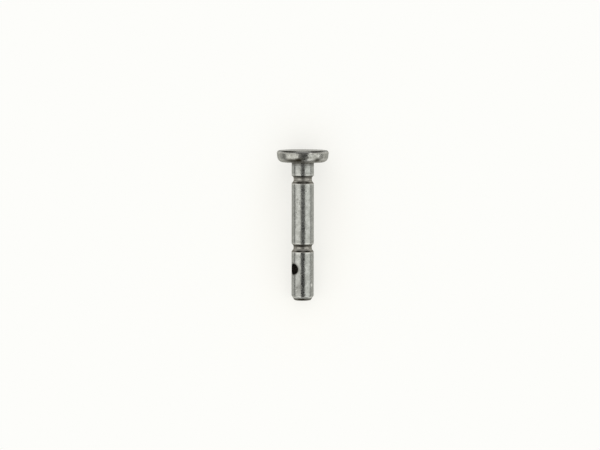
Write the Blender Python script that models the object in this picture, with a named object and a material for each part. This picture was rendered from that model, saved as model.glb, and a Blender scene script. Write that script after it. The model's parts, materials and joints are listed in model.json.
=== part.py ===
"""Headed shear pin in one piece of steel. Blender 4.5, metres, +Z up.

The pin stands on its head: the origin is at the centre of the head's outer
face, the shank rises along +Z to the tip, and the cross hole runs along X.
"""

import math

import bmesh
import bpy

# Head, a flat disc formed on the end of the shank
HEAD_DIAMETER = 0.01433  # across its widest ring, close to the outer face
HEAD_THICKNESS = 0.00325
HEAD_DRAFT = math.radians(7.6)  # the side narrows towards the shank
HEAD_FACE_ROUND = 0.00075  # edge between the outer face and the side
HEAD_SHOULDER_ROUND = 0.0016  # edge between the side and the underside
HEAD_FILLET = 0.00035  # inside corner where the shank leaves the underside

# Shank, measured along the axis from the underside of the head
SHANK_DIAMETER = 0.00613
HEAD_TO_GROOVE = 0.00466  # underside to the middle of the first groove's floor
GROOVE_SPACING = 0.01886  # between the middles of the two grooves
GROOVE_TO_HOLE = 0.00597  # second groove to the middle of the cross hole
HOLE_TO_TIP = 0.00874  # cross hole to the end face

# Shear grooves, where the pin is meant to break
GROOVE_DEPTH = 0.00054  # leaves a neck of 5.05 mm
GROOVE_FLOOR = 0.00095  # width of the floor before its corners are rounded
GROOVE_HEAD_WALL = math.radians(46)  # slope of the wall nearer the head
GROOVE_TIP_WALL = math.radians(36)  # slope of the wall nearer the tip
GROOVE_LIP_ROUND = 0.0002
GROOVE_FLOOR_ROUND = 0.0006

# Tip
TIP_BEVEL_DEPTH = 0.00085  # how far the bevel cuts in from the shank's surface
TIP_BEVEL_LENGTH = 0.00126
TIP_SHOULDER_ROUND = 0.0008
TIP_FACE_ROUND = 0.0003

# Cross hole for the retaining clip
HOLE_DIAMETER = 0.00297
HOLE_EDGE_BREAK = 0.00008  # width of the small bevel at each mouth
HOLE_BORDER = 0.0004  # plain band kept round the hole, for even facets

# Facets
ROUND_STEPS = 56  # around the pin
HOLE_STEPS = 36  # around the cross hole
ARC_STEP = math.radians(15)  # along a rounded corner of the profile
CUTTER_OVERSHOOT = 0.001  # past the shank at each end of the hole
WELD = 1e-7
SMOOTH_ANGLE = math.radians(35)

# Dull bright steel
STEEL_COLOUR = (0.32, 0.315, 0.285, 1.0)
STEEL_ROUGHNESS = 0.27
STEEL_METALLIC = 1.0


def clear_scene():
    for obj in list(bpy.data.objects):
        bpy.data.objects.remove(obj, do_unlink=True)


def steel():
    material = bpy.data.materials.new("bright_steel")
    material.use_nodes = True
    shader = material.node_tree.nodes["Principled BSDF"]
    shader.inputs["Base Color"].default_value = STEEL_COLOUR
    shader.inputs["Metallic"].default_value = STEEL_METALLIC
    shader.inputs["Roughness"].default_value = STEEL_ROUGHNESS
    return material


def rounded_corner(before, corner, after, radius):
    """The points of an arc of this radius that touches both lines of a corner.

    Where a line is too short for the arc, the arc shrinks to fit half of it.
    """
    back = (before[0] - corner[0], before[1] - corner[1])
    ahead = (after[0] - corner[0], after[1] - corner[1])
    back_length = math.hypot(*back)
    ahead_length = math.hypot(*ahead)
    back = (back[0] / back_length, back[1] / back_length)
    ahead = (ahead[0] / ahead_length, ahead[1] / ahead_length)
    opening = math.acos(back[0] * ahead[0] + back[1] * ahead[1])
    reach = min(radius / math.tan(opening / 2), back_length / 2, ahead_length / 2)
    radius = reach * math.tan(opening / 2)
    middle = (back[0] + ahead[0], back[1] + ahead[1])
    middle_length = math.hypot(*middle)
    to_centre = radius / math.sin(opening / 2) / middle_length
    centre = (corner[0] + middle[0] * to_centre, corner[1] + middle[1] * to_centre)
    start = (corner[0] + back[0] * reach, corner[1] + back[1] * reach)
    cross = ahead[0] * back[1] - ahead[1] * back[0]
    turn = math.copysign(math.pi - opening, cross)
    steps = max(2, math.ceil(abs(turn) / ARC_STEP))
    arm = (start[0] - centre[0], start[1] - centre[1])
    points = []
    for step in range(steps + 1):
        angle = turn * step / steps
        points.append(
            (
                centre[0] + arm[0] * math.cos(angle) - arm[1] * math.sin(angle),
                centre[1] + arm[0] * math.sin(angle) + arm[1] * math.cos(angle),
            )
        )
    return points


def rounded_profile(corners):
    """Rounds the inner corners of an open line, each by its own radius.

    A corner is (distance from the axis, height, radius), and one of radius 0
    stays a plain point.
    """
    points = [corners[0][:2]]
    for before, corner, after in zip(corners, corners[1:], corners[2:]):
        if corner[2] == 0:
            points.append(corner[:2])
        else:
            points.extend(rounded_corner(before, corner, after, corner[2]))
    points.append(corners[-1][:2])
    return points


def head_corners():
    turned = math.tan((math.pi / 2 + HEAD_DRAFT) / 2) - 1
    face_edge = HEAD_DIAMETER / 2 + HEAD_FACE_ROUND * turned
    shoulder = face_edge - HEAD_THICKNESS * math.tan(HEAD_DRAFT)
    return [
        (0, 0, 0),
        (face_edge, 0, HEAD_FACE_ROUND),
        (shoulder, HEAD_THICKNESS, HEAD_SHOULDER_ROUND),
        (SHANK_DIAMETER / 2, HEAD_THICKNESS, HEAD_FILLET),
    ]


def groove_corners(middle):
    outer = SHANK_DIAMETER / 2
    floor = outer - GROOVE_DEPTH
    low = middle - GROOVE_FLOOR / 2
    high = middle + GROOVE_FLOOR / 2
    return [
        (outer, low - GROOVE_DEPTH / math.tan(GROOVE_HEAD_WALL), GROOVE_LIP_ROUND),
        (floor, low, GROOVE_FLOOR_ROUND),
        (floor, high, GROOVE_FLOOR_ROUND),
        (outer, high + GROOVE_DEPTH / math.tan(GROOVE_TIP_WALL), GROOVE_LIP_ROUND),
    ]


def hole_band_corners(hole_height):
    """Two plain rings on the shank that keep the hole's facets to themselves."""
    reach = HOLE_DIAMETER / 2 + HOLE_EDGE_BREAK + HOLE_BORDER
    outer = SHANK_DIAMETER / 2
    return [(outer, hole_height - reach, 0), (outer, hole_height + reach, 0)]


def tip_corners(length):
    outer = SHANK_DIAMETER / 2
    return [
        (outer, length - TIP_BEVEL_LENGTH, TIP_SHOULDER_ROUND),
        (outer - TIP_BEVEL_DEPTH, length, TIP_FACE_ROUND),
        (0, length, 0),
    ]


def turned_body(name, profile, steps):
    """Spins the profile round Z into one closed body of this many facets."""
    mesh = bpy.data.meshes.new(name)
    body = bmesh.new()
    line = [body.verts.new((distance, 0, height)) for distance, height in profile]
    edges = [body.edges.new(pair) for pair in zip(line, line[1:])]
    bmesh.ops.spin(
        body,
        geom=line + edges,
        axis=(0, 0, 1),
        cent=(0, 0, 0),
        angle=math.tau,
        steps=steps,
        use_merge=True,
    )
    bmesh.ops.remove_doubles(body, verts=body.verts[:], dist=WELD)
    bmesh.ops.recalc_face_normals(body, faces=body.faces[:])
    body.to_mesh(mesh)
    body.free()
    obj = bpy.data.objects.new(name, mesh)
    bpy.context.collection.objects.link(obj)
    return obj


def hole_cutter(hole_height):
    """The drill: a bar that flares where it leaves the shank on both sides."""
    surface = SHANK_DIAMETER / 2
    bore = HOLE_DIAMETER / 2
    end = surface + CUTTER_OVERSHOOT
    flare = bore + HOLE_EDGE_BREAK + CUTTER_OVERSHOOT
    inner = surface - HOLE_EDGE_BREAK
    profile = [(0, -end), (flare, -end), (bore, -inner)]
    profile += [(bore, inner), (flare, end), (0, end)]
    cutter = turned_body("hole_cutter", profile, HOLE_STEPS)
    cutter.rotation_euler = (0, math.pi / 2, 0)
    cutter.location = (0, 0, hole_height)
    cutter.hide_render = True
    cutter.display_type = "WIRE"
    return cutter


def main():
    clear_scene()
    first_groove = HEAD_THICKNESS + HEAD_TO_GROOVE
    second_groove = first_groove + GROOVE_SPACING
    hole_height = second_groove + GROOVE_TO_HOLE
    length = hole_height + HOLE_TO_TIP

    corners = head_corners()
    corners += groove_corners(first_groove)
    corners += groove_corners(second_groove)
    corners += hole_band_corners(hole_height)
    corners += tip_corners(length)
    pin = turned_body("shear_pin", rounded_profile(corners), ROUND_STEPS)
    pin.data.materials.append(steel())

    cut = pin.modifiers.new("cross_hole", "BOOLEAN")
    cut.operation = "DIFFERENCE"
    cut.solver = "EXACT"
    cut.object = hole_cutter(hole_height)

    pin.data.shade_smooth()
    pin.data.set_sharp_from_angle(angle=SMOOTH_ANGLE)


main()
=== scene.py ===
import json
import math

import bmesh
import bpy
from mathutils import Matrix, Vector, noise


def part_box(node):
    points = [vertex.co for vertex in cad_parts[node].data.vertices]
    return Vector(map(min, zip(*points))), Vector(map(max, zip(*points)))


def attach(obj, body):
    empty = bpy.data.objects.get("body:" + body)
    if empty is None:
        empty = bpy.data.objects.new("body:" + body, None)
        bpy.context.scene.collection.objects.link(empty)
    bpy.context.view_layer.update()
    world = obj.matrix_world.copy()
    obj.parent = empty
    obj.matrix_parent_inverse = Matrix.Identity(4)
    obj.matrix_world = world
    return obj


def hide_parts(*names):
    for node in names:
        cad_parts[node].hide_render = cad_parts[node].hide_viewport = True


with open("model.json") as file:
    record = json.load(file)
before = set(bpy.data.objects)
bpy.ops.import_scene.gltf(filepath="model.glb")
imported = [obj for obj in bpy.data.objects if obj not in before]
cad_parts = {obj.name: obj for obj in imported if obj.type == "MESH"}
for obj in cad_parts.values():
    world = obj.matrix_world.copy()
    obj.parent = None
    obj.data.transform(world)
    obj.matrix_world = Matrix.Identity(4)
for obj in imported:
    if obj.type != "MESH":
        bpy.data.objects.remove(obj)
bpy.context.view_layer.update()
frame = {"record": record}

mm = 0.001
tiny = 1e-4    # mm; no step of the outline is this small


def hexColour(text):
    # sRGB hex to the linear colour that a shader takes
    parts = [int(text[i:i + 2], 16) / 255 for i in (1, 3, 5)]
    linear = [p / 12.92 if p <= 0.04045 else ((p + 0.055) / 1.055) ** 2.4 for p in parts]
    return (*linear, 1.0)


def addNode(tree, kind, inputs=None, **settings):
    # one node: an input given as a socket is linked, anything else is typed in
    node = tree.nodes.new(kind)
    for name, value in settings.items():
        setattr(node, name, value)
    for name, value in (inputs or {}).items():
        if isinstance(value, bpy.types.NodeSocket):
            tree.links.new(value, node.inputs[name])
        else:
            node.inputs[name].default_value = value
    return node


def newMaterial(name):
    material = bpy.data.materials.new(name)
    material.use_nodes = True
    tree = material.node_tree
    tree.nodes.clear()
    return material, tree


def fadeOut(share):
    # 1 at 0 or below, 0 at 1 or above, and smooth between
    share = min(max(share, 0.0), 1.0)
    return 1 - share * share * (3 - 2 * share)


# The way the photograph looks at the pin. The lens is long, so that 42 mm of steel seen from
# 70 cm fills a third of the frame. It looks almost square on to the board that the pin leans on.
view = {
    "azimuth": 36.2,         # degrees; puts the cross hole 54 degrees round to the left
    "distance": 700 * mm,    # camera to board
    "pixelsPerMm": 3.594,    # at the board
    "frameWidth": 600,       # pixels
    "sensor": 36.0,          # mm
    "offSquare": 1.6,        # degrees that the camera leans off the board's normal, tip side nearer
    "roll": 0.09,            # degrees that the pin's head leans to the right
    "pinRight": 0.743 * mm,  # the pin's axis is this far right of the middle
    "headUp": 20.40 * mm,    # the head's outer face is this far above the middle, along the board
    "clipNear": 0.01,        # m
    "clipFar": 10.0,
}

pinLow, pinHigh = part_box("shear_pin")
pinLength = pinHigh.z - pinLow.z
mounts = {m["name"]: Vector(m["pos_m"]) for m in frame["record"]["mounts"]}

# Every size in mm, as the solid has it
pin = {
    "headRadius": pinHigh.x / mm,
    "headThickness": mounts["head_underside"].z / mm,
    "headDraft": 7.6,       # degrees
    "headFaceRound": 0.75,
    "headShoulderRound": 1.6,
    "headFillet": 0.35,
    "shankRadius": 3.065,
    "headToGroove": 4.66,
    "grooveSpacing": 18.86,
    "grooveToHole": 5.97,
    "grooveDepth": 0.54,
    "grooveFloor": 0.95,
    "grooveHeadWall": 46.0,    # degrees
    "grooveTipWall": 36.0,
    "grooveLipRound": 0.2,
    "grooveFloorRound": 0.6,
    "bevelDepth": 0.85,
    "bevelLength": 1.26,
    "bevelShoulderRound": 0.8,
    "bevelFaceRound": 0.3,
    "holeRadius": 1.485,
    "holeEdgeRound": 0.08,
    "holeBorder": 0.56,     # plain band left round the hole
    "roundSteps": 224,      # facets round the pin
    "lineStep": 0.17,       # longest facet along a straight run
    "fineStep": 0.08,       # and in the grooves and on the tip, where the finish changes fast
    "faceStep": 0.4,        # longest facet across the flat faces
    "levelWithin": 1e-6,    # a run that rises less than this is a flat face
    "arcStep": 9.0,         # degrees along a rounded corner
    "arcSteps": 3,          # but at least this many facets
    "boreRows": 24,         # facets along the cross hole
}

# Heights from the head's outer face, in mm
headTop = pin["headThickness"]
firstGroove = headTop + pin["headToGroove"]
secondGroove = firstGroove + pin["grooveSpacing"]
holeMiddle = secondGroove + pin["grooveToHole"]
holeBand = pin["holeRadius"] + pin["holeBorder"]
pinEnd = pinLength / mm

axisAngle = math.radians(view["azimuth"])
towardCamera = Vector((math.sin(axisAngle), -math.cos(axisAngle), 0))
photoRight = Vector((-math.cos(axisAngle), -math.sin(axisAngle), 0))

# The pin lies with the rim of its head and the end of its shank on the board
rimHeight = pin["headFaceRound"] * mm
restHeight = pinLength - pin["bevelLength"] * mm
lean = math.atan((pin["headRadius"] - pin["shankRadius"]) * mm / (restHeight - rimHeight))
boardNormal = towardCamera * math.cos(lean) - Vector((0, 0, math.sin(lean)))
boardUp = -towardCamera * math.sin(lean) - Vector((0, 0, math.cos(lean)))  # towards the head
boardTouch = -towardCamera * pin["headRadius"] * mm + Vector((0, 0, rimHeight))


def onBoard(point):
    return point - boardNormal * (point - boardTouch).dot(boardNormal)


def roundedCorner(before, corner, after, radius):
    # an arc that touches both runs, as (radius, height, wear and painted shade)
    back = Vector(before[:2]) - Vector(corner[:2])
    ahead = Vector(after[:2]) - Vector(corner[:2])
    backLength, aheadLength = back.length, ahead.length
    back.normalize()
    ahead.normalize()
    opening = back.angle(ahead)
    reach = min(radius / math.tan(opening / 2), backLength / 2, aheadLength / 2)
    radius = reach * math.tan(opening / 2)
    centre = Vector(corner[:2]) + (back + ahead).normalized() * radius / math.sin(opening / 2)
    arm = Vector(corner[:2]) + back * reach - centre
    side = ahead.x * back.y - ahead.y * back.x
    turn = math.copysign(math.pi - opening, side)
    steps = max(pin["arcSteps"], math.ceil(abs(math.degrees(turn)) / pin["arcStep"]))
    wornAndShaded = 1.0 if side > 0 else -1.0   # outer corners rubbed bright, inner corners darkened with painted shade and grime
    points = []
    for step in range(steps + 1):
        spot = centre + Matrix.Rotation(turn * step / steps, 2) @ arm
        points.append((spot.x, spot.y, wornAndShaded * math.sin(math.pi * step / steps)))
    return points


def grooveCorners(middle):
    outer = pin["shankRadius"]
    floor = outer - pin["grooveDepth"]
    low = middle - pin["grooveFloor"] / 2
    high = middle + pin["grooveFloor"] / 2
    lowWall = pin["grooveDepth"] / math.tan(math.radians(pin["grooveHeadWall"]))
    highWall = pin["grooveDepth"] / math.tan(math.radians(pin["grooveTipWall"]))
    return [
        (outer, low - lowWall, pin["grooveLipRound"], "groove"),
        (floor, low, pin["grooveFloorRound"], "groove"),
        (floor, high, pin["grooveFloorRound"], "groove"),
        (outer, high + highWall, pin["grooveLipRound"], "shank"),
    ]


def pinCorners():
    # (radius, height, rounding, finish of the run that follows)
    draft = math.radians(pin["headDraft"])
    faceEdge = pin["headRadius"] + pin["headFaceRound"] * (math.tan((math.pi / 2 + draft) / 2) - 1)
    shoulder = faceEdge - headTop * math.tan(draft)
    outer = pin["shankRadius"]
    return [
        (0, 0, 0, "head"),
        (faceEdge, 0, pin["headFaceRound"], "head"),
        (shoulder, headTop, pin["headShoulderRound"], "head"),
        (outer, headTop, pin["headFillet"], "shank"),
        *grooveCorners(firstGroove),
        *grooveCorners(secondGroove),
        (outer, holeMiddle - holeBand, 0, "hole"),
        (outer, holeMiddle + holeBand, 0, "shank"),
        (outer, pinEnd - pin["bevelLength"], pin["bevelShoulderRound"], "tip"),
        (outer - pin["bevelDepth"], pinEnd, pin["bevelFaceRound"], "tip"),
        (0, pinEnd, 0, "tip"),
    ]


def pinProfile():
    # the turned outline as (radius, height, wear and painted shade, finish), with long runs cut
    # into short ones
    corners = pinCorners()
    rough = [(*corners[0][:2], 0.0, corners[0][3])]
    for before, corner, after in zip(corners, corners[1:], corners[2:]):
        if corner[2]:
            arc = roundedCorner(before, corner, after, corner[2])
            rough += [(*point, before[3]) for point in arc[:-1]]
            rough.append((*arc[-1], corner[3]))
        else:
            rough.append((*corner[:2], 0.0, corner[3]))
    rough.append((*corners[-1][:2], 0.0, corners[-1][3]))
    profile = []
    for here, there in zip(rough, rough[1:]):
        longest = pin["fineStep"] if here[3] in ("groove", "tip") else pin["lineStep"]
        if abs(here[1] - there[1]) < pin["levelWithin"]:
            longest = pin["faceStep"]
        pieces = max(1, math.ceil(math.dist(here[:2], there[:2]) / longest))
        if here[3] == "hole":
            pieces += pieces % 2    # an even number, so that a ring passes the hole's middle
        for piece in range(pieces):
            share = piece / pieces
            mixed = [a + (b - a) * share for a, b in zip(here[:3], there[:3])]
            profile.append((*mixed, here[3]))
    profile.append(rough[-1])
    return profile


# How strongly wear and painted shade are drawn, where 1 is rubbed fully bright and -1 is the full
# dark colour that stands for grime and painted shade
wearAndShading = {
    "corner": 0.5,        # on the rounded corners: outer ones rubbed bright, inner ones painted shade and grime
    "faceReach": 1.2,     # mm that a stain, and the painted shade at the face's edge, runs in from the rim over the head's flat face
    # painted shade with grime on the hole's edge
    "holeEdge": -0.8,
    "roundHole": -0.7,    # painted shade with grime on the shank close to the hole's edge
    "roundReach": 0.45,   # mm over which that fades out
}

# Bands all round, by height, darkened by grime and painted shade, and brightened where the amount
# is below 0: (from, to, how far it fades out, amount), in mm
grimeAndShadeBands = [
    (0.13, 0.22, 0.13, 0.40),                         # painted shade: a dark line round the edge of the head's face
    (0.82 * headTop, headTop - 0.05, 0.22, 0.55),     # painted shade under the head
    (headTop + 0.20, headTop + 0.70, 0.45, 0.40),     # and painted shade on the shank below it
    (pinEnd - 0.52, pinEnd - 0.11, 0.22, 0.58),       # foot of the bevel
    (pinEnd - 1.50, pinEnd - 1.14, 0.12, 0.30),       # before the bevel's rubbed edge
    (pinEnd - 1.02, pinEnd - 0.84, 0.10, -0.80),
]

# The two grooves' lines differ: how far each one's bright rims, rubbed and painted highlights, and
# dark foot, dark floor line and dark lip, painted shade and grime, stand from its corners, in mm
grooveLines = [
    {"middle": firstGroove, "rimIn": (0.50, 0.24), "foot": (-0.48, -0.18, 0.12, 0.55),
     "floor": (0.18, 0.34), "lip": (0.42, 0.20), "rimOut": (0.12, 0.34, -0.80)},
    {"middle": secondGroove, "rimIn": (0.26, 0.08), "foot": (-0.42, 0.16, 0.16, 0.34),
     "floor": (0.34, 0.52), "lip": (0.38, 0.07), "rimOut": (0.18, 0.42, -0.35)},
]
for line in grooveLines:
    grooveStart, grooveFoot, _, grooveLip = [corner[1] for corner in grooveCorners(line["middle"])]
    footFrom, footTo, footFade, footAmount = line["foot"]
    rimFrom, rimTo, rimAmount = line["rimOut"]
    grimeAndShadeBands += [
        (grooveStart - line["rimIn"][0], grooveStart - line["rimIn"][1], 0.08, -0.45),
        (grooveFoot + footFrom, grooveFoot + footTo, footFade, footAmount),
        (grooveFoot + line["floor"][0], grooveFoot + line["floor"][1], 0.12, 0.20),
        (grooveLip - 0.74, grooveLip - 0.56, 0.10, -0.28),    # the wall's foot, lightened, which eases the inner corner's painted shade
        (grooveLip - line["lip"][0], grooveLip - line["lip"][1], 0.07, 0.42),
        (grooveLip + rimFrom, grooveLip + rimTo, 0.06, rimAmount),
    ]

# Stains and painted shade and, where the amount is below 0, rubbed spots and painted highlights:
# (degrees round from the photograph's side, height, degrees and mm that it reaches, amount)
stainsAndPaintedLight = [
    # the head, on the front and then round the back; on the front, the two at the face's edge and
    # the four that darken the shoulder are painted shade, and the two below 0 are painted
    # highlights
    (-33, 0.12, 29, 0.30, 1.60),
    (31, 0.11, 26, 0.26, 1.30),
    (-22, 2.52, 34, 0.80, 1.05),
    (-7, 2.25, 15, 0.80, 0.80),
    (-42, 2.35, 28, 0.36, 0.35),
    (11, 2.45, 14, 0.60, -0.35),
    (38, 1.25, 9, 0.50, -0.45),
    (35, 2.40, 16, 0.80, 1.15),
    (-54, 1.60, 16, 1.60, 0.15),
    (105, 2.70, 35, 0.80, 0.5),
    (170, 2.60, 28, 0.70, 0.4),
    (-125, 2.80, 26, 0.75, 0.5),
    (100, 0.16, 40, 0.20, 0.4),
    (-150, 0.16, 45, 0.20, 0.5),
    # the grooves: painted shade and grime on their walls and lips
    (-18, firstGroove - 0.76, 42, 0.32, 0.45),
    (-23, firstGroove + 0.91, 27, 0.30, 0.70),
    (27, firstGroove + 0.91, 27, 0.30, 0.65),
    (-23, secondGroove + 0.97, 27, 0.46, 0.70),
    (28, secondGroove + 0.97, 30, 0.46, 0.65),
    (-16, secondGroove - 0.50, 42, 0.48, 0.45),
    # broad and faint, on the shank's far end and along its sides; the darkening along the sides is
    # painted shade, and the spot under the hole a painted shadow
    (-24, 38.30, 26, 3.20, 0.26),
    (30, 35.50, 26, 5.00, 0.08),
    (-64, 20.00, 13, 13.00, 0.09),
    (62, 35.80, 14, 5.50, 0.07),
    (-18, 37.30, 20, 1.40, 0.16),
    (-50, 34.35, 24, 0.45, 0.35),
    # small, along the shank
    (2, 5.35, 9, 1.35, 0.80),
    (1, 9.90, 7, 0.90, 0.40),
    (-27, 17.6, 5, 0.30, 0.30),
    (-21, 16.6, 5, 0.35, 0.28),
    (-36, 16.9, 5, 0.40, 0.25),
    (-17, 15.2, 5, 0.30, -0.60),
    (-23, 14.6, 4, 0.28, -0.55),
    (-31, 37.8, 8, 0.35, 0.45),
    (-34, 38.6, 7, 0.28, -0.6),
    (-33, 12.9, 6, 0.45, -0.45),
    (-20, 13.8, 6, 0.40, -0.50),
    (-38, 14.5, 5, 0.35, -0.40),
    (-26, 13.4, 5, 0.30, 0.35),
    (-31, 14.2, 6, 0.25, 0.35),
    (-27, 15.3, 6, 0.35, 0.25),
    (38, 15.1, 7, 0.50, -0.55),
    (30, 14.4, 5, 0.30, 0.25),
    # the bevel
    (-4, pinEnd - 0.38, 42, 0.42, 0.45),
]


def grimeAndShadeAt(height):
    return sum(amount * fadeOut(max(low - height, height - high, 0.0) / fade)
               for low, high, fade, amount in grimeAndShadeBands)


def stainAndLightAt(angle, height):
    total = 0.0
    for bearing, middle, around, tall, amount in stainsAndPaintedLight:
        turn = view["azimuth"] - 90 - math.degrees(angle) - bearing
        turn = abs((turn + 180) % 360 - 180) / around
        away = math.hypot(turn, (height - middle) / tall)
        total += amount * fadeOut(away)
    return total


# How far the real surface strays from the drawing, in mm
unevenness = {
    "shankWave": 0.010, "shankWaveSize": 2.0,
    "shankRipple": 0.0022, "shankRippleSize": 0.75,
    "headWave": 0.030, "headWaveSize": 3.2,
    "headRipple": 0.009, "headRippleSize": 1.0,
    "headFrom": 3.3, "headBlend": 1.0,      # the head's own waves start this far from the axis
    "lengthwise": 0.6,                      # below 1, the waves are longer along the pin
    "standingShare": 0.2,                   # what is left of them on the face that it stands on
    "knockFall": 3.0, "knockReach": 2.5,    # how fast a knock fades out, and to how many widths
}

# Knocks: (degrees round from the photograph's side, height, across, depth, how bright), mm; the two
# brightest, on the head and near the tip, are bright dents with painted glints
knocks = [
    (17.8, 0.50, 0.45, 0.08, 2.0),
    (-64, 0.5, 0.8, 0.07, 0.3),
    (118, 0.42, 0.7, 0.10, 0.6),
    (163, 0.55, 0.9, 0.08, 0.5),
    (-120, 1.9, 0.8, 0.06, 0.4),
    (54.5, 37.12, 0.50, 0.06, 3.0),
    (-20, 40.2, 0.6, 0.05, 0.2),
    (140, 12.5, 0.5, 0.03, 0.5),
    (-150, 20.5, 0.7, 0.03, 0.5),
]


def surfaceWander(spot):
    x, y, z = spot
    outward = (math.hypot(x, y) - unevenness["headFrom"]) / unevenness["headBlend"]
    onHead = min(max(outward, 0.0), 1.0)
    offset = 0.0
    for kind, share in (("shank", 1 - onHead), ("head", onHead)):
        for form in ("Wave", "Ripple"):
            size = unevenness[kind + form + "Size"]
            place = Vector((x, y, z * unevenness["lengthwise"])) / size
            offset += share * unevenness[kind + form] * noise.noise(place)
    return offset


def tumble(mesh, wearAndShade):
    # the small unevenness and knocks that a tumbled pin has, moved along the surface's own normal
    # and kept inside the solid's box
    low, high = pinLow / mm, pinHigh / mm
    spots = []
    for bearing, height, width, depth, rubAndGlint in knocks:
        turn = math.radians(bearing)
        reach = pin["headRadius"] if height < headTop else pin["shankRadius"]
        place = (towardCamera * math.cos(turn) + photoRight * math.sin(turn)) * reach
        spots.append((Vector((place.x, place.y, height)), width, depth, rubAndGlint))
    moves = []
    for vert in mesh.verts:
        offset = surfaceWander(vert.co)
        if vert.co.z < tiny:
            offset = min(offset * unevenness["standingShare"], 0.0)    # stands flat
        for place, width, depth, rubAndGlint in spots:
            away = (vert.co - place).length / width
            if away < unevenness["knockReach"]:
                near = math.exp(-unevenness["knockFall"] * away * away)
                offset -= depth * near
                # each knock is rubbed bright, the brightest ones with a painted glint
                vert[wearAndShade] += rubAndGlint * near
        moves.append((vert, vert.normal * offset))
    for vert, move in moves:
        moved = vert.co + move
        vert.co = [min(max(value, least), most) for value, least, most in zip(moved, low, high)]


def turnedRings(mesh, wearAndShade, profile):
    # a ring of points at each step of the outline, each point with its wear and painted shade
    steps = pin["roundSteps"]
    rings = []
    for radius, height, wornAndShaded, _ in profile:
        inFromRim = 0.0
        if tiny < height < pinEnd - tiny:
            wornAndShaded = wornAndShaded * wearAndShading["corner"] - grimeAndShadeAt(height)
        elif height < tiny:
            inFromRim = pin["headRadius"] - pin["headFaceRound"] - radius
        reaching = fadeOut(inFromRim / wearAndShading["faceReach"])    # stains and painted shade end on the flat face
        ring = []
        for i in range(steps if radius > tiny else 1):
            angle = math.tau * i / steps
            vert = mesh.verts.new((radius * math.cos(angle), radius * math.sin(angle), height))
            vert[wearAndShade] = wornAndShaded - reaching * stainAndLightAt(angle, height)
            ring.append(vert)
        rings.append(ring)
    return rings


finishes = ["shank", "groove", "head", "bore", "tip"]


def skinRings(mesh, rings, profile, columns, rowLow, rowHigh):
    # facets between the rings, with a square gap on both sides where the hole comes out
    steps = pin["roundSteps"]
    for row, (low, high) in enumerate(zip(rings, rings[1:])):
        finish = profile[row][3]
        index = finishes.index("shank" if finish == "hole" else finish)
        for i in range(steps):
            nearColumn = min(i, steps - 1 - i, abs(i - steps // 2 + 0.5) - 0.5)
            if rowLow <= row < rowHigh and nearColumn < columns:
                continue
            j = (i + 1) % steps
            if len(low) == 1:
                corners = (low[0], high[j], high[i])
            elif len(high) == 1:
                corners = (low[i], low[j], high[0])
            else:
                corners = (low[i], low[j], high[j], high[i])
            face = mesh.faces.new(corners)
            face.material_index = index


def joinLoops(mesh, layers, finish):
    for outerLoop, innerLoop in zip(layers, layers[1:]):
        for i in range(len(outerLoop)):
            j = (i + 1) % len(outerLoop)
            face = mesh.faces.new((outerLoop[i], outerLoop[j], innerLoop[j], innerLoop[i]))
            face.material_index = finishes.index(finish)


# Loops of facets at each mouth of the cross hole, as shares of the way from the square gap to the
# hole's edge, and then of the way over that edge
holeLoops = {
    "inward": (0.16, 0.32, 0.47, 0.61, 0.74, 0.86, 1.0),
    "overEdge": (0.25, 0.5, 0.75, 1.0),
}


def holeMouth(mesh, wearAndShade, rings, side, columns, rowLow, rowHigh):
    # fills the square gap down to the round hole, then goes over its edge
    steps = pin["roundSteps"]
    radius = pin["shankRadius"]
    across = list(range(-columns, columns + 1))
    up = list(range(rowLow, rowHigh + 1))
    loop = [(columns, row) for row in up]
    loop += [(column, rowHigh) for column in reversed(across[1:-1])]
    loop += [(-columns, row) for row in reversed(up)]
    loop += [(column, rowLow) for column in across[1:-1]]
    border = []
    for column, row in loop:
        slot = column % steps if side > 0 else (steps // 2 - column) % steps
        border.append(rings[row][slot])
    middleRow = (rowLow + rowHigh) / 2
    turns = [math.atan2((row - middleRow) / (rowHigh - rowLow), column / (2 * columns))
             for column, row in loop]

    def holeEdge(turn):
        # along the shank's surface, and up from the hole's middle
        return (radius * math.asin(pin["holeRadius"] * math.cos(turn) / radius),
                pin["holeRadius"] * math.sin(turn))

    def onShank(along, height):
        angle = along / radius
        return Vector((side * radius * math.cos(angle), radius * math.sin(angle),
                       holeMiddle + height))

    layers = [border]
    for share in holeLoops["inward"]:
        layer = []
        for (column, row), turn in zip(loop, turns):
            start = Vector((column * math.tau * radius / steps, rings[row][0].co.z - holeMiddle))
            edge = Vector(holeEdge(turn))
            stop = edge + (start - edge).normalized() * pin["holeEdgeRound"]
            spot = start.lerp(stop, share)
            vert = mesh.verts.new(onShank(*spot))
            near = 1 - (spot - edge).length / wearAndShading["roundReach"]
            vert[wearAndShade] = wearAndShading["roundHole"] * max(near, 0.0)
            layer.append(vert)
        layers.append(layer)
    outside = layers[-1]
    for share in holeLoops["overEdge"]:
        layer = []
        for turn, outerVert in zip(turns, outside):
            edge = onShank(*holeEdge(turn))
            inside = edge - Vector((side * pin["holeEdgeRound"], 0, 0))
            spot = outerVert.co.lerp(edge, share).lerp(edge.lerp(inside, share), share)
            vert = mesh.verts.new(spot)
            vert[wearAndShade] = wearAndShading["holeEdge"]
            layer.append(vert)
        layers.append(layer)
    joinLoops(mesh, layers, "shank")
    return layers[-1]


def boreWall(mesh, mouths):
    rows = pin["boreRows"]
    layers = [mouths[0]]
    for row in range(1, rows):
        layers.append([mesh.verts.new(a.co.lerp(b.co, row / rows)) for a, b in zip(*mouths)])
    layers.append(mouths[1])
    joinLoops(mesh, layers, "bore")


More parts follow.
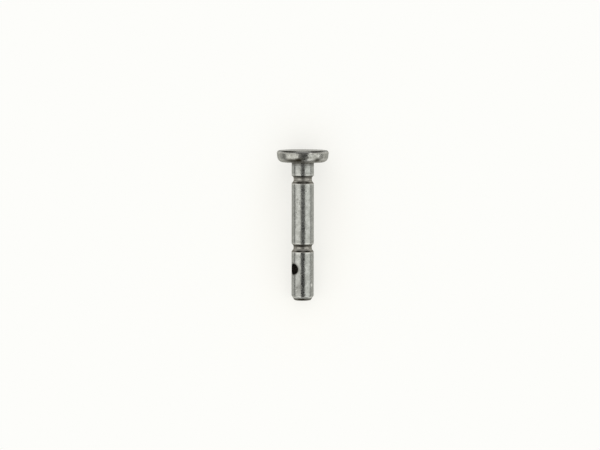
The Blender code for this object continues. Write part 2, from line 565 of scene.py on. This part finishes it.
def buildPin():
    profile = pinProfile()
    mesh = bmesh.new()
    wearAndShade = mesh.verts.layers.float.new("wearAndShade")
    rings = turnedRings(mesh, wearAndShade, profile)
    holeRows = [i for i, point in enumerate(profile) if point[3] == "hole"]
    rowLow, rowHigh = holeRows[0], holeRows[-1] + 1
    columns = round(holeBand / (math.tau * pin["shankRadius"] / pin["roundSteps"]))
    skinRings(mesh, rings, profile, columns, rowLow, rowHigh)
    mouths = [holeMouth(mesh, wearAndShade, rings, side, columns, rowLow, rowHigh) for side in (1, -1)]
    boreWall(mesh, mouths)
    loose = [vert for vert in mesh.verts if not vert.link_faces]
    bmesh.ops.delete(mesh, geom=loose, context="VERTS")
    bmesh.ops.recalc_face_normals(mesh, faces=mesh.faces[:])
    for face in mesh.faces:
        face.smooth = True
    mesh.normal_update()
    tumble(mesh, wearAndShade)
    bmesh.ops.scale(mesh, vec=(mm, mm, mm), verts=mesh.verts[:])
    data = bpy.data.meshes.new("pinSteel")
    mesh.to_mesh(data)
    mesh.free()
    obj = bpy.data.objects.new("pinSteel", data)
    bpy.context.collection.objects.link(obj)
    return obj


pinSteel = buildPin()
print("pin mesh:", len(pinSteel.data.polygons), "faces")

# The five finishes of the one piece of steel. Colours are sRGB, sizes are mm, and the heights of
# what stands out or is cut in are thousandths of a mm. Real drawing lines are about 0.03 mm apart
# and a tool leaves a ring every 0.05 to 0.1 mm. Both are too fine to show in a picture of the
# whole pin, so markPitch draws them two to four times as coarse, and the grain with them.

# Cold drawn low carbon steel, tumbled in stone: satin grey, clouded, with soft dents and pits; its
# dark colour also paints the shade below the head, along the sides and round the hole
drawnSteel = {
    "name": "coldDrawnSteel",
    "bright": "#a9aaa6", "dull": "#979893", "rubbedAndHighlight": "#cfcfca", "grimeAndShade": "#45413a",
    "rim": "#cfcfcd",
    "cloudSize": 1.3, "speckleSize": 0.22, "speckle": 0.16,
    "pitSpacing": 1.5, "pitSize": 0.13, "pitDepth": 14.0,
    "roughness": (0.22, 0.32),
    "peelSize": 1.15, "peelHeight": 42.0, "grainSize": 0.26, "grainHeight": 3.0,
    "marks": "drawn", "markPitch": 0.11, "markHeight": 1.8,
}

# The same bar cut with a form tool: fine rings, duller, with a warm film of old cutting oil; its
# dark colour also paints the shade on the groove's walls and lips
turnedGroove = {
    "name": "formTurnedSteel",
    "bright": "#a5a39c", "dull": "#8f8c85", "rubbedAndHighlight": "#cfcdc6", "grimeAndShade": "#2e2b25",
    "rim": "#c4c3be",
    "cloudSize": 0.9, "speckleSize": 0.2, "speckle": 0.2,
    "pitSpacing": 1.6, "pitSize": 0.1, "pitDepth": 8.0,
    "roughness": (0.28, 0.40),
    "peelSize": 0.8, "peelHeight": 18.0, "grainSize": 0.22, "grainHeight": 4.0,
    "marks": "turned", "markPitch": 0.13, "markHeight": 7.0,
}

# Cold headed in a die: the skin is mottled and lumpy; its dark colour paints the shade in the
# hollows, under the head and on the shoulder
headedSteel = {
    "name": "coldHeadedSteel",
    "bright": "#aaaaa4", "dull": "#91908a", "rubbedAndHighlight": "#d8d7d2", "grimeAndShade": "#3a362c",
    "rim": "#cfcfcd",
    "cloudSize": 1.0, "speckleSize": 0.24, "speckle": 0.2,
    "pitSpacing": 1.1, "pitSize": 0.15, "pitDepth": 20.0,
    "roughness": (0.22, 0.36),
    "peelSize": 1.05, "peelHeight": 58.0, "grainSize": 0.32, "grainHeight": 6.0,
    "marks": "drawn", "markPitch": 0.2, "markHeight": 3.0,
}

# Faced and bevelled in the lathe: rings out to the edge, a little cleaner than the grooves
turnedTip = {
    "name": "facedSteel",
    "bright": "#a6a7a2", "dull": "#90908b", "rubbedAndHighlight": "#cdcdc8", "grimeAndShade": "#403c33",
    "rim": "#cfcfcd",
    "cloudSize": 1.0, "speckleSize": 0.2, "speckle": 0.16,
    "pitSpacing": 1.5, "pitSize": 0.12, "pitDepth": 10.0,
    "roughness": (0.25, 0.34),
    "peelSize": 0.8, "peelHeight": 16.0, "grainSize": 0.22, "grainHeight": 4.0,
    "marks": "turned", "markPitch": 0.16, "markHeight": 5.0,
}

# Drilled and never cleaned: a rough wall with the drill's rings, dark with burnt oil
drilledBore = {
    "name": "drilledSteel",
    "bright": "#6a665e", "dull": "#4c4942", "rubbedAndHighlight": "#b8b5ac", "grimeAndShade": "#26231e",
    "rim": "#cfcfcd",
    "cloudSize": 0.8, "speckleSize": 0.2, "speckle": 0.3,
    "pitSpacing": 1.0, "pitSize": 0.14, "pitDepth": 14.0,
    "roughness": (0.42, 0.58),
    "peelSize": 0.5, "peelHeight": 20.0, "grainSize": 0.2, "grainHeight": 10.0,
    "marks": "drilled", "markPitch": 0.22, "markHeight": 16.0,
}

finishLooks = {"shank": drawnSteel, "groove": turnedGroove, "head": headedSteel,
               "bore": drilledBore, "tip": turnedTip}

# How the finishes are mixed, the same for all five. Noise seldom leaves its middle, so a pattern
# goes from end to end between the two values of its range.
mixing = {
    "cloudRange": (0.36, 0.64),
    "speckleRange": (0.3, 0.7),
    "grimeAndShadeStrength": 1.15,
    "grimeAndShadePatches": (0.7, 1.2),     # the grime and painted shade are this much thinner or thicker in places
    "grimeAndShadeRoughness": 0.25,         # how much rougher full grime and painted shade are
    "pitFloor": 0.4,                # share of a pit that is its flat floor
    "drawnLength": 0.03,            # drawing lines are 1 / this times as long as they are wide
}


def toolMarks(tree, look, spot):
    # rings round the pin, rings round the drilled hole, or long lines along the shank
    if look["marks"] == "drawn":
        stretched = addNode(tree, "ShaderNodeVectorMath", {
            0: spot.outputs["Vector"], 1: (1.0, 1.0, mixing["drawnLength"])}, operation="MULTIPLY")
        return addNode(tree, "ShaderNodeTexNoise", {
            "Vector": stretched.outputs["Vector"], "Scale": 1 / look["markPitch"], "Detail": 2.0})
    sides = addNode(tree, "ShaderNodeSeparateXYZ", {"Vector": spot.outputs["Vector"]})
    along = sides.outputs["X"]
    if look["marks"] == "turned":
        level = addNode(tree, "ShaderNodeVectorMath", {
            0: spot.outputs["Vector"], 1: (1.0, 1.0, 0.0)}, operation="MULTIPLY")
        outward = addNode(tree, "ShaderNodeVectorMath", {
            0: level.outputs["Vector"]}, operation="LENGTH")
        along = addNode(tree, "ShaderNodeMath", {
            0: outward.outputs["Value"], 1: sides.outputs["Z"]}, operation="ADD").outputs["Value"]
    return addNode(tree, "ShaderNodeTexNoise", {
        "W": along, "Scale": 1 / look["markPitch"], "Detail": 1.0}, noise_dimensions="1D")


def steelMaterial(look):
    material, tree = newMaterial(look["name"])
    place = addNode(tree, "ShaderNodeTexCoord")
    spot = addNode(tree, "ShaderNodeVectorMath", {
        0: place.outputs["Object"], "Scale": 1 / mm}, operation="SCALE")
    wornAndShaded = addNode(tree, "ShaderNodeAttribute", attribute_name="wearAndShade")

    # the patterns: broad clouds, fine speckle, scattered pits and the tool's marks
    cloudLow, cloudHigh = mixing["cloudRange"]
    speckleLow, speckleHigh = mixing["speckleRange"]
    cloud = addNode(tree, "ShaderNodeTexNoise", {
        "Vector": spot.outputs["Vector"], "Scale": 1 / look["cloudSize"],
        "Detail": 4.0, "Roughness": 0.6})
    clouded = addNode(tree, "ShaderNodeMapRange", {
        "Value": cloud.outputs["Fac"], "From Min": cloudLow, "From Max": cloudHigh})
    speckle = addNode(tree, "ShaderNodeTexNoise", {
        "Vector": spot.outputs["Vector"], "Scale": 1 / look["speckleSize"], "Detail": 2.0})
    speckled = addNode(tree, "ShaderNodeMapRange", {
        "Value": speckle.outputs["Fac"], "From Min": speckleLow, "From Max": speckleHigh,
        "To Min": 1 - look["speckle"], "To Max": 1 + look["speckle"]})
    pit = addNode(tree, "ShaderNodeTexVoronoi", {
        "Vector": spot.outputs["Vector"], "Scale": 1 / look["pitSpacing"], "Randomness": 1.0})
    pitReach = look["pitSize"] / look["pitSpacing"]
    pitted = addNode(tree, "ShaderNodeMapRange", {
        "Value": pit.outputs["Distance"], "From Min": mixing["pitFloor"] * pitReach,
        "From Max": pitReach, "To Min": 1.0, "To Max": 0.0}, interpolation_type="SMOOTHSTEP")
    marks = toolMarks(tree, look, spot)

    # grime and painted shade where the wear-and-shade layer is below 0, grime in the pits, and bare
    # rubbed steel and painted highlights where it is above
    thin, thick = mixing["grimeAndShadePatches"]
    darkAmount = addNode(tree, "ShaderNodeMath", {
        0: wornAndShaded.outputs["Fac"], 1: -mixing["grimeAndShadeStrength"]}, operation="MULTIPLY")
    patchy = addNode(tree, "ShaderNodeMapRange", {
        "Value": cloud.outputs["Fac"], "From Min": speckleLow, "From Max": speckleHigh,
        "To Min": thin, "To Max": thick})
    grimeAndShade = addNode(tree, "ShaderNodeMath", {
        0: darkAmount.outputs["Value"], 1: patchy.outputs["Result"]},
        operation="MULTIPLY", use_clamp=True)
    dark = addNode(tree, "ShaderNodeMath", {
        0: grimeAndShade.outputs["Value"], 1: pitted.outputs["Result"]}, operation="MAXIMUM")
    rubbedAndHighlight = addNode(tree, "ShaderNodeMath", {
        0: wornAndShaded.outputs["Fac"], 1: speckled.outputs["Result"]},
        operation="MULTIPLY", use_clamp=True)

    base = addNode(tree, "ShaderNodeMix", {
        0: clouded.outputs["Result"], 6: hexColour(look["dull"]), 7: hexColour(look["bright"])},
        data_type="RGBA")
    toned = addNode(tree, "ShaderNodeVectorMath", {
        0: base.outputs[2], "Scale": speckled.outputs["Result"]}, operation="SCALE")
    darkened = addNode(tree, "ShaderNodeMix", {
        0: dark.outputs["Value"], 6: toned.outputs["Vector"], 7: hexColour(look["grimeAndShade"])},
        data_type="RGBA")
    colour = addNode(tree, "ShaderNodeMix", {
        0: rubbedAndHighlight.outputs["Value"], 6: darkened.outputs[2], 7: hexColour(look["rubbedAndHighlight"])},
        data_type="RGBA")

    smooth, rough = look["roughness"]
    satin = addNode(tree, "ShaderNodeMapRange", {
        "Value": cloud.outputs["Fac"], "From Min": cloudLow, "From Max": cloudHigh,
        "To Min": rough, "To Max": smooth})
    roughness = addNode(tree, "ShaderNodeMath", {
        0: dark.outputs["Value"], 1: mixing["grimeAndShadeRoughness"], 2: satin.outputs["Result"]},
        operation="MULTIPLY_ADD")

    # the relief: soft dents, then grain, tool marks and pits added to them
    peel = addNode(tree, "ShaderNodeTexNoise", {
        "Vector": spot.outputs["Vector"], "Scale": 1 / look["peelSize"],
        "Detail": 1.5, "Roughness": 0.45})
    grain = addNode(tree, "ShaderNodeTexNoise", {
        "Vector": spot.outputs["Vector"], "Scale": 1 / look["grainSize"], "Detail": 2.0})
    height = addNode(tree, "ShaderNodeMath", {
        0: peel.outputs["Fac"], 1: look["peelHeight"]}, operation="MULTIPLY")
    for source, amount in ((grain.outputs["Fac"], look["grainHeight"]),
                           (marks.outputs["Fac"], look["markHeight"]),
                           (pitted.outputs["Result"], -look["pitDepth"])):
        height = addNode(tree, "ShaderNodeMath", {
            0: source, 1: amount, 2: height.outputs["Value"]}, operation="MULTIPLY_ADD")
    bump = addNode(tree, "ShaderNodeBump", {
        "Height": height.outputs["Value"], "Distance": mm / 1000, "Strength": 1.0})

    shader = addNode(tree, "ShaderNodeBsdfPrincipled", {
        "Base Color": colour.outputs[2], "Metallic": 1.0,
        "Roughness": roughness.outputs["Value"],
        "Specular Tint": hexColour(look["rim"]), "Normal": bump.outputs["Normal"]})
    addNode(tree, "ShaderNodeOutputMaterial", {"Surface": shader.outputs["BSDF"]})
    return material


for finish in finishes:
    pinSteel.data.materials.append(steelMaterial(finishLooks[finish]))

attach(pinSteel, "root")
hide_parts("shear_pin")
print("pin finished")

# Pale floor and board. Each shows from its upper side alone and fades out with distance, so
# that the low camera of the photograph sees past the floor.
studio = {
    "paper": "#fdfdfa",
    "paperShade": "#fdfaf1",       # warmer where the pin shades it
    "paperFade": (150 * mm, 420 * mm),
    "boardFade": (26 * mm, 60 * mm),
    "boardGap": 0.02 * mm,         # between the pin and the board
    "shadowShare": (0.37, 0.06),   # how much of the shade the paper shows, near and away
    "shadowReach": (8 * mm, 22 * mm),
    "floorAlong": 0.35,            # the shade reaches 1 / this times as far over the floor
    "boardAlong": 0.5,             # and along the pin on the board
    "backdrop": "#fdfdfa",
    "ambient": 0.86,               # light from all round
    "softboxStrength": 0.42,
    "softboxWarm": "#fffefb",      # the left one
    "softboxCool": "#fbfffd",      # the right one
    "softboxWidth": 0.66, "softboxHeight": 0.62, "softboxAway": 0.60,    # m
    "softboxBearing": 50.0, "softboxLift": 20.0,                         # degrees
    "topStrength": 0.5, "topColour": "#ffffff",
    "topSize": 0.5, "topHeight": 0.7, "topLift": 89.9,
}


def paperMaterial(name, fade, along, hole=0.0):
    # matt white card: partly its own white and partly lit, open beyond the fade and in the hole
    material, tree = newMaterial(name)
    place = addNode(tree, "ShaderNodeTexCoord")
    away = addNode(tree, "ShaderNodeVectorMath", {0: place.outputs["Object"]}, operation="LENGTH")
    faded = addNode(tree, "ShaderNodeMapRange", {
        "Value": away.outputs["Value"], "From Min": fade[0], "From Max": fade[1]},
        interpolation_type="SMOOTHSTEP")
    inHole = addNode(tree, "ShaderNodeMath", {
        0: away.outputs["Value"], 1: hole}, operation="LESS_THAN")
    side = addNode(tree, "ShaderNodeNewGeometry")
    clearSide = addNode(tree, "ShaderNodeMath", {
        0: faded.outputs["Result"], 1: side.outputs["Backfacing"]}, operation="MAXIMUM")
    clear = addNode(tree, "ShaderNodeMath", {
        0: clearSide.outputs["Value"], 1: inHole.outputs["Value"]}, operation="MAXIMUM")
    beside = addNode(tree, "ShaderNodeVectorMath", {
        0: place.outputs["Object"], 1: along}, operation="MULTIPLY")
    besidePin = addNode(tree, "ShaderNodeVectorMath", {
        0: beside.outputs["Vector"]}, operation="LENGTH")
    nearShare, awayShare = studio["shadowShare"]
    share = addNode(tree, "ShaderNodeMapRange", {
        "Value": besidePin.outputs["Value"], "From Min": studio["shadowReach"][0],
        "From Max": studio["shadowReach"][1], "To Min": nearShare, "To Max": awayShare},
        interpolation_type="SMOOTHSTEP")
    shaded = addNode(tree, "ShaderNodeBsdfDiffuse", {"Color": hexColour(studio["paperShade"])})
    white = addNode(tree, "ShaderNodeEmission", {
        "Color": hexColour(studio["paper"]), "Strength": 1.0})
    paper = addNode(tree, "ShaderNodeMixShader", {
        0: share.outputs["Result"], 1: white.outputs["Emission"], 2: shaded.outputs["BSDF"]})
    seeThrough = addNode(tree, "ShaderNodeBsdfTransparent")
    mixed = addNode(tree, "ShaderNodeMixShader", {
        0: clear.outputs["Value"], 1: paper.outputs["Shader"], 2: seeThrough.outputs["BSDF"]})
    addNode(tree, "ShaderNodeOutputMaterial", {"Surface": mixed.outputs["Shader"]})
    return material


def flatPiece(name, width, height, middle, right, up, material):
    # a rectangle whose front is on the side of right x up
    data = bpy.data.meshes.new(name)
    half = [(-width / 2, -height / 2, 0), (width / 2, -height / 2, 0),
            (width / 2, height / 2, 0), (-width / 2, height / 2, 0)]
    data.from_pydata(half, [], [(0, 1, 2, 3)])
    obj = bpy.data.objects.new(name, data)
    turned = Matrix((right, up, right.cross(up))).transposed().to_4x4()
    obj.matrix_world = Matrix.Translation(middle) @ turned
    data.materials.append(material)
    bpy.context.collection.objects.link(obj)
    return obj


skyUp = Vector((0, 0, 1))
pinMiddle = Vector((0, 0, pinLength / 2))
floorSize = 2 * studio["paperFade"][1]
floorHole = (pin["headRadius"] - pin["headFaceRound"]) * mm    # open under the flat face
floorPaper = flatPiece(
    "floorPaper", floorSize, floorSize, Vector((0, 0, 0)), Vector((1, 0, 0)), Vector((0, 1, 0)),
    paperMaterial("floorPaper", studio["paperFade"],
                  (studio["floorAlong"], studio["floorAlong"], 1.0), floorHole))
boardSize = 2 * studio["boardFade"][1]
boardPaper = flatPiece(
    "boardPaper", boardSize, boardSize, onBoard(pinMiddle) - boardNormal * studio["boardGap"],
    photoRight, boardUp,
    paperMaterial("boardPaper", studio["boardFade"], (1.0, studio["boardAlong"], 1.0)))

for paper in (floorPaper, boardPaper):
    paper.visible_diffuse = False    # neither lights nor shades the other
    paper.visible_shadow = False


def bearingDirection(bearing, lift):
    # degrees round from the photograph's side towards its right, and up from the floor
    turn, rise = math.radians(bearing), math.radians(lift)
    level = towardCamera * math.cos(turn) + photoRight * math.sin(turn)
    return level * math.cos(rise) + skyUp * math.sin(rise)


def areaLamp(name, bearing, lift, away, width, height, strength, colour):
    # strength is the lamp's brightness against white paper's 1; what lies behind adds to it
    data = bpy.data.lights.new(name, "AREA")
    data.shape = "RECTANGLE"
    data.size, data.size_y = width, height
    data.energy = 4 * strength * width * height
    data.color = hexColour(colour)[:3]
    lamp = bpy.data.objects.new(name, data)
    direction = bearingDirection(bearing, lift)
    lamp.location = pinMiddle + direction * away
    lamp.rotation_euler = (-direction).to_track_quat("-Z", "Y").to_euler()
    bpy.context.collection.objects.link(lamp)
    return lamp


for label, side, colour in (("softboxLeft", -1, "softboxWarm"), ("softboxRight", 1, "softboxCool")):
    areaLamp(label, side * studio["softboxBearing"], studio["softboxLift"], studio["softboxAway"],
             studio["softboxWidth"], studio["softboxHeight"], studio["softboxStrength"],
             studio[colour])
topLamp = areaLamp("softboxTop", 0, studio["topLift"], studio["topHeight"], studio["topSize"],
                   studio["topSize"], studio["topStrength"], studio["topColour"])
topLamp.visible_glossy = False    # the steel would show it as a spot on the head's rounding

# Cards that show only in the steel's reflections, as a photographer's black cards do, darker
# where the strength is lower: (name, bearing, lift, m away, width, height, strength)
reflectionCards = [
    ("cardBehindCamera", 2.6, 5, 0.5, 0.41, 2.3, 0.03),
    ("cardOverhead", 180, 60, 0.5, 0.72, 0.84, 0.05),
    ("cardLeftGap", -95, 5, 0.7, 0.24, 1.2, 0.10),
    ("cardRightGap", 94, 5, 0.7, 0.14, 1.2, 0.15),
]

# Half rings just over the floor on the photograph's side, for the dark foot of the head, the first
# two a painted contact shadow:
# (name, near and far in mm, degrees to each side, mm up, strength, strength at the ends)
floorCards = [
    ("cardContactShadow", 6.2, 7.4, 74, 0.03, 0.22, 1.0),
    ("cardContactShadowFront", 6.2, 7.25, 22, 0.04, 0.50, 0.22),
    ("cardFloorFront", 7.4, 9.5, 20, 0.03, 0.10, 1.0),
    ("cardFloor", 9.5, 70, 98, 0.03, 0.50, 1.0),
]
ringSectors = 36
ringFadeFrom = 0.6    # share of the way from the middle of a half ring to its ends


def cardMaterial(name, strength, ends=1.0):
    # as bright as its strength, and as its ends where the mesh has a fade of 1
    material, tree = newMaterial(name)
    fade = addNode(tree, "ShaderNodeAttribute", attribute_name="fade")
    level = addNode(tree, "ShaderNodeMapRange", {
        "Value": fade.outputs["Fac"], "To Min": strength, "To Max": ends})
    glow = addNode(tree, "ShaderNodeEmission", {
        "Color": (1, 1, 1, 1), "Strength": level.outputs["Result"]})
    seeThrough = addNode(tree, "ShaderNodeBsdfTransparent")
    side = addNode(tree, "ShaderNodeNewGeometry")
    front = addNode(tree, "ShaderNodeMixShader", {
        0: side.outputs["Backfacing"], 1: glow.outputs["Emission"], 2: seeThrough.outputs["BSDF"]})
    addNode(tree, "ShaderNodeOutputMaterial", {"Surface": front.outputs["Shader"]})
    return material


def onlyReflected(card):
    card.visible_camera = False
    card.visible_diffuse = False
    card.visible_shadow = False
    card.visible_transmission = False


def reflectionCard(name, bearing, lift, away, width, height, strength):
    direction = bearingDirection(bearing, lift)
    right = skyUp.cross(direction).normalized()
    up = right.cross(direction)
    onlyReflected(flatPiece(name, width, height, pinMiddle + direction * away, right, up,
                            cardMaterial(name, strength)))


def floorCard(name, near, far, spread, height, strength, ends):
    data = bpy.data.meshes.new(name)
    spots = []
    fades = []
    for i in range(ringSectors + 1):
        side = 2 * i / ringSectors - 1
        direction = bearingDirection(spread * side, 0)
        spots += [tuple(direction * (reach * mm) + skyUp * (height * mm))
                  for reach in (near, far)]
        fades += [1 - fadeOut((abs(side) - ringFadeFrom) / (1 - ringFadeFrom))] * 2
    faces = [(2 * i, 2 * i + 2, 2 * i + 3, 2 * i + 1) for i in range(ringSectors)]
    data.from_pydata(spots, [], faces)
    data.attributes.new("fade", "FLOAT", "POINT").data.foreach_set("value", fades)
    data.materials.append(cardMaterial(name, strength, ends))
    card = bpy.data.objects.new(name, data)
    bpy.context.collection.objects.link(card)
    onlyReflected(card)


for card in reflectionCards:
    reflectionCard(*card)
for card in floorCards:
    floorCard(*card)

world = bpy.data.worlds.new("studioWorld")
world.use_nodes = True
bpy.context.scene.world = world
tree = world.node_tree
tree.nodes.clear()
rays = addNode(tree, "ShaderNodeLightPath")
seen = addNode(tree, "ShaderNodeMath", {
    0: rays.outputs["Is Camera Ray"], 1: rays.outputs["Is Glossy Ray"]}, operation="MAXIMUM")
seenToo = addNode(tree, "ShaderNodeMath", {
    0: seen.outputs["Value"], 1: rays.outputs["Is Transmission Ray"]}, operation="MAXIMUM")
dim = addNode(tree, "ShaderNodeBackground", {"Color": (1, 1, 1, 1), "Strength": studio["ambient"]})
pale = addNode(tree, "ShaderNodeBackground", {
    "Color": hexColour(studio["backdrop"]), "Strength": 1.0})
either = addNode(tree, "ShaderNodeMixShader", {
    0: seenToo.outputs["Value"], 1: dim.outputs["Background"], 2: pale.outputs["Background"]})
addNode(tree, "ShaderNodeOutputWorld", {"Surface": either.outputs["Shader"]})
print("studio lit")

cameraData = bpy.data.cameras.new("camera")
cameraData.sensor_width = view["sensor"]
focalPixels = view["pixelsPerMm"] * view["distance"] / mm
cameraData.lens = focalPixels * view["sensor"] / view["frameWidth"]
cameraData.clip_start = view["clipNear"]
cameraData.clip_end = view["clipFar"]
camera = bpy.data.objects.new("camera", cameraData)
bpy.context.collection.objects.link(camera)
headOnBoard = onBoard(Vector((0, 0, 0)))
aim = headOnBoard - boardUp * view["headUp"] - photoRight * view["pinRight"]
dip = lean - math.radians(view["offSquare"])
viewBack = towardCamera * math.cos(dip) - skyUp * math.sin(dip)
viewUp = Matrix.Rotation(math.radians(view["roll"]), 3, viewBack) @ viewBack.cross(photoRight)
viewRight = viewUp.cross(viewBack)
camera.matrix_world = (Matrix.Translation(aim + viewBack * view["distance"])
                       @ Matrix((viewRight, viewUp, viewBack)).transposed().to_4x4())
bpy.context.scene.camera = camera
bpy.context.scene.view_settings.view_transform = "Standard"
print("camera set")
